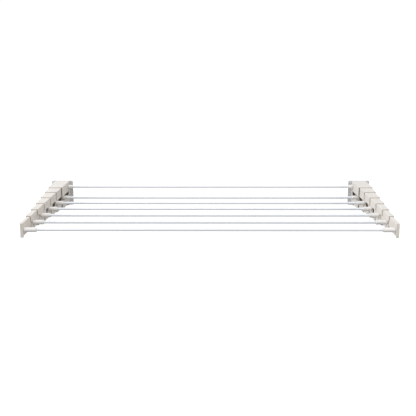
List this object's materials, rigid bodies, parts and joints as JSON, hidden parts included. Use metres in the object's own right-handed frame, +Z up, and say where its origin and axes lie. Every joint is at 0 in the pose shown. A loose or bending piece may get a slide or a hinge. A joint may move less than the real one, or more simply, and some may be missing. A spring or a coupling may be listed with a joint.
{
  "type": "wall mounted telescoping drying rack",
  "caption": "Wall mounted laundry drying rack whose telescoping box-section arms carry slim parallel rods and push back nearly flat to the wall.",
  "frame": {"origin": "on the wall plane, at the centre of the rectangle of four wall screw holes", "axes": "+X along the rods to the viewer's right, +Y into the wall (the arms pull out towards -Y), +Z up"},
  "size_m": [1.122, 0.5485, 0.0896],
  "materials": {
    "arm_plastic": "fine textured moulding, warm off-white",
    "housing_plastic": "fine textured moulding, warm off-white",
    "socket_plastic": "smooth satin moulding, white",
    "coated_rod": "satin white powder coat",
    "bracket_steel": "grey lacquered sheet steel",
    "glide_plastic": "waxy acetal",
    "zinc_screw": "zinc plated"
  },
  "bodies": {
    "root": {"wall_bracket_left": "bracket_steel", "wall_bracket_right": "bracket_steel", "wall_housing_left": "housing_plastic", "wall_housing_right": "housing_plastic", "locking_screw_left": "zinc_screw", "locking_screw_right": "zinc_screw", "rod_socket_1_left": "socket_plastic", "rod_socket_1_right": "socket_plastic", "drying_rod_1": "coated_rod"},
    "stage_2": {"arm_stage_2_left": "arm_plastic", "arm_stage_2_right": "arm_plastic", "glide_pads_2_left": "glide_plastic", "glide_pads_2_right": "glide_plastic", "rod_socket_2_left": "socket_plastic", "rod_socket_2_right": "socket_plastic", "drying_rod_2": "coated_rod"},
    "stage_3": {"arm_stage_3_left": "arm_plastic", "arm_stage_3_right": "arm_plastic", "glide_pads_3_left": "glide_plastic", "glide_pads_3_right": "glide_plastic", "rod_socket_3_left": "socket_plastic", "rod_socket_3_right": "socket_plastic", "drying_rod_3": "coated_rod"},
    "stage_4": {"arm_stage_4_left": "arm_plastic", "arm_stage_4_right": "arm_plastic", "glide_pads_4_left": "glide_plastic", "glide_pads_4_right": "glide_plastic", "rod_socket_4_left": "socket_plastic", "rod_socket_4_right": "socket_plastic", "drying_rod_4": "coated_rod"},
    "stage_5": {"arm_stage_5_left": "arm_plastic", "arm_stage_5_right": "arm_plastic", "glide_pads_5_left": "glide_plastic", "glide_pads_5_right": "glide_plastic", "rod_socket_5_left": "socket_plastic", "rod_socket_5_right": "socket_plastic", "drying_rod_5": "coated_rod"},
    "stage_6": {"arm_stage_6_left": "arm_plastic", "arm_stage_6_right": "arm_plastic", "glide_pads_6_left": "glide_plastic", "glide_pads_6_right": "glide_plastic", "rod_socket_6_left": "socket_plastic", "rod_socket_6_right": "socket_plastic", "drying_rod_6": "coated_rod"},
    "stage_7": {"arm_stage_7_left": "arm_plastic", "arm_stage_7_right": "arm_plastic", "glide_pads_7_left": "glide_plastic", "glide_pads_7_right": "glide_plastic", "rod_socket_7_left": "socket_plastic", "rod_socket_7_right": "socket_plastic", "drying_rod_7": "coated_rod", "nose_cap_left": "arm_plastic", "nose_cap_right": "arm_plastic"}
  },
  "joints": [
    {"name": "stage_2_slide", "type": "slide", "parent": "root", "child": "stage_2", "axis": [0, 1, 0], "range_m": [0, 0.072]},
    {"name": "stage_3_slide", "type": "slide", "parent": "stage_2", "child": "stage_3", "axis": [0, 1, 0], "range_m": [0, 0.072]},
    {"name": "stage_4_slide", "type": "slide", "parent": "stage_3", "child": "stage_4", "axis": [0, 1, 0], "range_m": [0, 0.072]},
    {"name": "stage_5_slide", "type": "slide", "parent": "stage_4", "child": "stage_5", "axis": [0, 1, 0], "range_m": [0, 0.072]},
    {"name": "stage_6_slide", "type": "slide", "parent": "stage_5", "child": "stage_6", "axis": [0, 1, 0], "range_m": [0, 0.072]},
    {"name": "stage_7_slide", "type": "slide", "parent": "stage_6", "child": "stage_7", "axis": [0, 1, 0], "range_m": [0, 0.072]}
  ]
}
